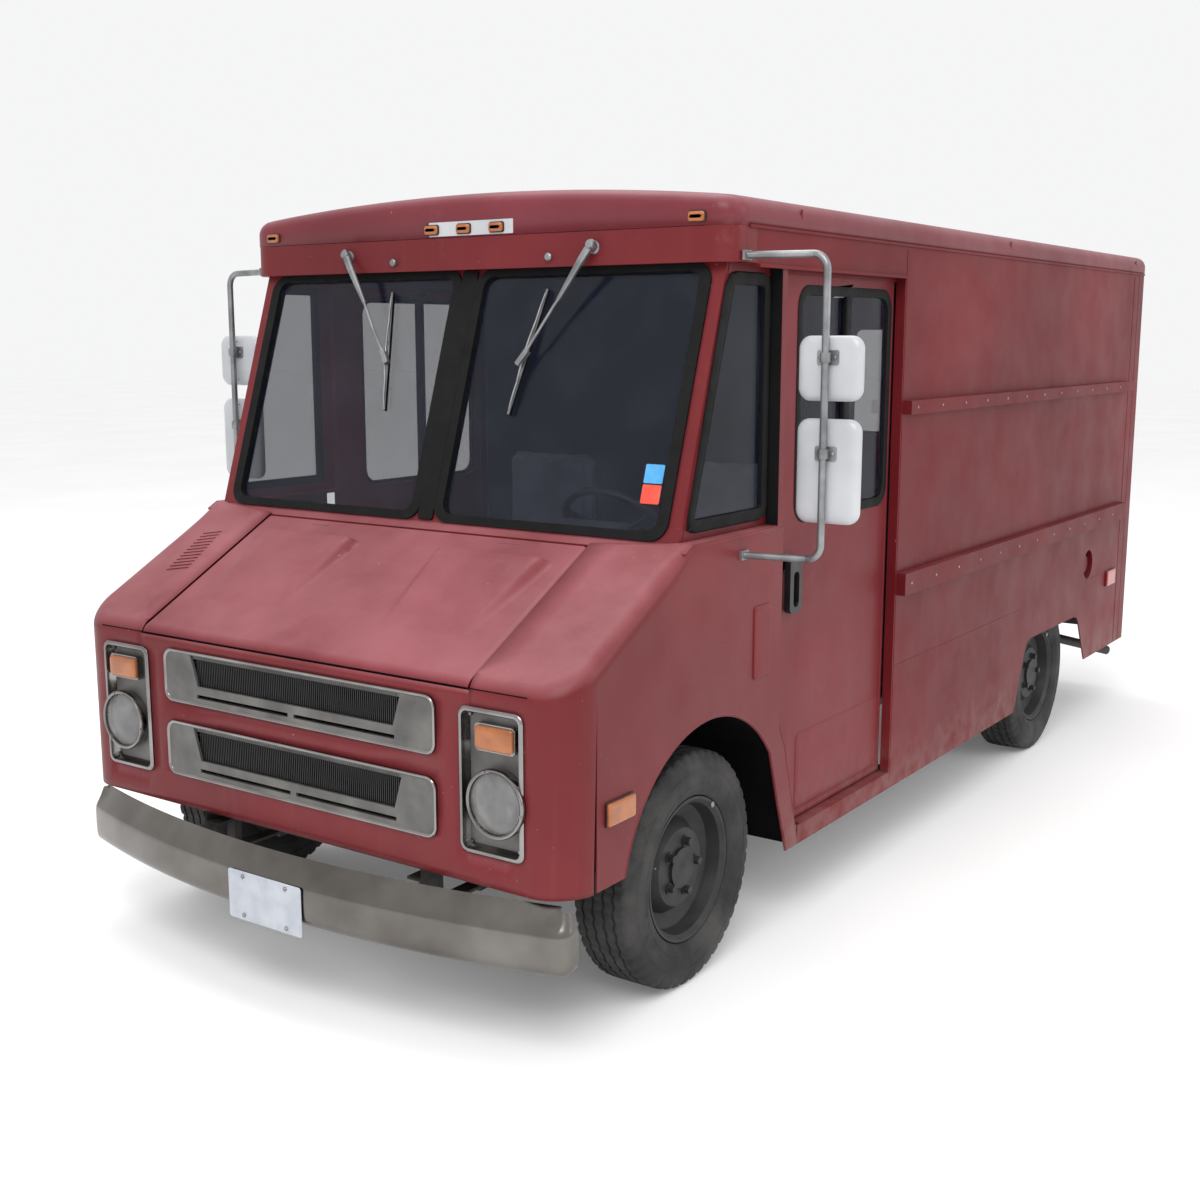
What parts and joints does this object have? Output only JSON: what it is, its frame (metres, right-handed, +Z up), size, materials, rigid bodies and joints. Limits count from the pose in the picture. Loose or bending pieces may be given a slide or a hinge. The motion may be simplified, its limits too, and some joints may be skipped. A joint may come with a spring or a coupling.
{
  "type": "mail delivery truck",
  "caption": "Step-van mail delivery truck with sliding side doors, opening hood, hinged rear doors, steering front wheels, sweeping wipers and swivelling mirrors.",
  "frame": {"origin": "on the road, under the middle of the truck's overall box", "axes": "+X to the vehicle's left (driver's) side, +Y to its rear with the nose towards -Y, +Z up"},
  "size_m": [2.682, 5.47, 2.4],
  "materials": {
    "dark_steel": "satin",
    "body_paint": "weathered gloss",
    "chrome": "polished",
    "lens": "gloss",
    "glass": "clear",
    "rubber_seal": "matte",
    "dash_plastic": "matte",
    "cast_iron": "rough",
    "radiator_metal": "satin",
    "plate": "satin",
    "mirror_steel": "satin",
    "mirror_shell": "satin",
    "seat_vinyl": "satin",
    "black_plastic": "satin",
    "wiper_metal": "satin",
    "wheel_steel": "satin",
    "tyre": "matte"
  },
  "bodies": {
    "body": {"chassis_frame": "dark_steel", "floor": "dark_steel", "rear_bumper": "dark_steel", "exhaust": "dark_steel", "fuel_tank": "dark_steel", "leaf_springs": "dark_steel", "seat_pedestals": "dark_steel", "side_left": "body_paint", "side_right": "body_paint", "roof": "body_paint", "cab_front": "body_paint", "fenders": "body_paint", "grille_panel": "body_paint", "rear_frame": "body_paint", "front_bumper": "chrome", "grilles": "chrome", "headlamps": "chrome", "marker_lamps": "lens", "fixed_glass": "glass", "window_gaskets": "rubber_seal", "dashboard": "dash_plastic", "engine_cover": "dash_plastic", "steering_column": "dash_plastic", "engine": "cast_iron", "rear_axle": "cast_iron", "front_axle": "cast_iron", "radiator": "radiator_metal", "licence_plate": "plate", "mirror_arms": "mirror_steel", "seat_cushions": "seat_vinyl", "seat_backs": "seat_vinyl"},
    "hood": {"hood": "body_paint"},
    "door_left": {"door_left": "body_paint"},
    "door_right": {"door_right": "body_paint"},
    "door_pane_left": {"door_pane_left": "glass"},
    "door_pane_right": {"door_pane_right": "glass"},
    "door_handle_left": {"door_handle_left": "black_plastic"},
    "door_handle_right": {"door_handle_right": "black_plastic"},
    "rear_door_left": {"rear_door_left": "body_paint"},
    "rear_door_right": {"rear_door_right": "body_paint"},
    "rear_latch": {"rear_latch": "chrome"},
    "wiper_left": {"wiper_left": "wiper_metal"},
    "wiper_right": {"wiper_right": "wiper_metal"},
    "mirror_upper_left": {"mirror_upper_left": "mirror_shell"},
    "mirror_lower_left": {"mirror_lower_left": "mirror_shell"},
    "mirror_upper_right": {"mirror_upper_right": "mirror_shell"},
    "mirror_lower_right": {"mirror_lower_right": "mirror_shell"},
    "knuckle_left": {"knuckle_left": "cast_iron"},
    "knuckle_right": {"knuckle_right": "cast_iron"},
    "steering_wheel": {"steering_wheel": "black_plastic"},
    "tie_rod": {"tie_rod": "dark_steel"},
    "driveshaft": {"driveshaft": "dark_steel"},
    "cooling_fan": {"cooling_fan": "black_plastic"},
    "brake_pedal": {"brake_pedal": "dark_steel"},
    "front_wheel_left": {"wheel_front_left": "wheel_steel", "tyre_front_left": "tyre"},
    "front_wheel_right": {"wheel_front_right": "wheel_steel", "tyre_front_right": "tyre"},
    "rear_wheel_set": {"rear_wheels": "wheel_steel", "rear_tyres": "tyre"}
  },
  "joints": [
    {"name": "hood_hinge", "type": "hinge", "parent": "body", "child": "hood", "pos_m": [0, -2.033, 1.33], "axis": [-1, 0, 0], "range_deg": [0, 60]},
    {"name": "door_left_slide", "type": "slide", "parent": "body", "child": "door_left", "axis": [0, 1, 0], "range_m": [0, 0.64]},
    {"name": "door_pane_left_slide", "type": "slide", "parent": "door_left", "child": "door_pane_left", "axis": [0, 1, 0], "range_m": [0, 0.32]},
    {"name": "door_handle_left_turn", "type": "hinge", "parent": "door_left", "child": "door_handle_left", "pos_m": [0.97, -1.337, 1.228], "axis": [1, 0, 0], "range_deg": [0, 25], "stiffness_Nm_per_rad": 2},
    {"name": "rear_door_left_hinge", "type": "hinge", "parent": "body", "child": "rear_door_left", "pos_m": [0.804, 2.607, 1.4], "axis": [0, 0, -1], "range_deg": [0, 110]},
    {"name": "mirror_upper_left_turn", "type": "hinge", "parent": "body", "child": "mirror_upper_left", "pos_m": [1.24, -1.668, 1.888], "axis": [0, 0, 1], "range_deg": [-25, 25]},
    {"name": "mirror_lower_left_turn", "type": "hinge", "parent": "body", "child": "mirror_lower_left", "pos_m": [1.24, -1.668, 1.613], "axis": [0, 0, 1], "range_deg": [-25, 25]},
    {"name": "door_right_slide", "type": "slide", "parent": "body", "child": "door_right", "axis": [0, 1, 0], "range_m": [0, 0.64]},
    {"name": "door_pane_right_slide", "type": "slide", "parent": "door_right", "child": "door_pane_right", "axis": [0, 1, 0], "range_m": [0, 0.32]},
    {"name": "door_handle_right_turn", "type": "hinge", "parent": "door_right", "child": "door_handle_right", "pos_m": [-0.97, -1.337, 1.228], "axis": [1, 0, 0], "range_deg": [0, 25], "stiffness_Nm_per_rad": 2},
    {"name": "rear_door_right_hinge", "type": "hinge", "parent": "body", "child": "rear_door_right", "pos_m": [-0.804, 2.607, 1.4], "axis": [0, 0, 1], "range_deg": [0, 110]},
    {"name": "mirror_upper_right_turn", "type": "hinge", "parent": "body", "child": "mirror_upper_right", "pos_m": [-1.24, -1.668, 1.888], "axis": [0, 0, 1], "range_deg": [-25, 25]},
    {"name": "mirror_lower_right_turn", "type": "hinge", "parent": "body", "child": "mirror_lower_right", "pos_m": [-1.24, -1.668, 1.613], "axis": [0, 0, 1], "range_deg": [-25, 25]},
    {"name": "rear_latch_turn", "type": "hinge", "parent": "rear_door_left", "child": "rear_latch", "pos_m": [0.09, 2.6, 1.18], "axis": [0, 1, 0], "range_deg": [0, 90]},
    {"name": "wiper_left_sweep", "type": "hinge", "parent": "body", "child": "wiper_left", "pos_m": [0.511, -1.72316, 2.1973], "axis": [0, -0.9518, 0.3067], "range_deg": [0, 62]},
    {"name": "wiper_right_sweep", "type": "hinge", "parent": "body", "child": "wiper_right", "pos_m": [-0.511, -1.72316, 2.1973], "axis": [0, 0.9518, -0.3067], "range_deg": [0, 62]},
    {"name": "steer_left", "type": "hinge", "parent": "body", "child": "knuckle_left", "pos_m": [0.74, -1.905, 0.365], "axis": [0, 0, 1], "range_deg": [-30, 30]},
    {"name": "steer_right", "type": "hinge", "parent": "body", "child": "knuckle_right", "pos_m": [-0.74, -1.905, 0.365], "axis": [0, 0, 1], "range_deg": [-30, 30]},
    {"name": "steering_wheel_turn", "type": "hinge", "parent": "body", "child": "steering_wheel", "pos_m": [0.36, -1.405, 1.29], "axis": [0, 0.7431, 0.6691], "range_deg": [-540, 540]},
    {"name": "tie_rod_turn", "type": "hinge", "parent": "knuckle_left", "child": "tie_rod", "pos_m": [0.74, -1.745, 0.266], "axis": [0, 0, 1], "range_deg": [-30, 30]},
    {"name": "front_wheel_left_spin", "type": "hinge", "parent": "knuckle_left", "child": "front_wheel_left", "pos_m": [0.865, -1.905, 0.365], "axis": [1, 0, 0], "continuous": true},
    {"name": "front_wheel_right_spin", "type": "hinge", "parent": "knuckle_right", "child": "front_wheel_right", "pos_m": [-0.865, -1.905, 0.365], "axis": [1, 0, 0], "continuous": true},
    {"name": "rear_wheels_spin", "type": "hinge", "parent": "body", "child": "rear_wheel_set", "pos_m": [0, 1.27, 0.365], "axis": [1, 0, 0], "continuous": true},
    {"name": "driveshaft_spin", "type": "hinge", "parent": "body", "child": "driveshaft", "pos_m": [0, -0.992, 0.492], "axis": [0, 0.9989, -0.0471], "continuous": true},
    {"name": "cooling_fan_spin", "type": "hinge", "parent": "body", "child": "cooling_fan", "pos_m": [0, -2.369, 0.76], "axis": [0, 1, 0], "continuous": true},
    {"name": "brake_pedal_press", "type": "hinge", "parent": "body", "child": "brake_pedal", "pos_m": [0.42, -1.755, 1.06], "axis": [-1, 0, 0], "range_deg": [0, 18], "stiffness_Nm_per_rad": 60}
  ],
  "couplings": [
    {"joint": "wiper_right_sweep", "follows": "wiper_left_sweep", "ratio": 1},
    {"joint": "steer_right", "follows": "steer_left", "ratio": 1},
    {"joint": "steering_wheel_turn", "follows": "steer_left", "ratio": 18},
    {"joint": "tie_rod_turn", "follows": "steer_left", "ratio": -1},
    {"joint": "driveshaft_spin", "follows": "rear_wheels_spin", "ratio": 4.1}
  ]
}
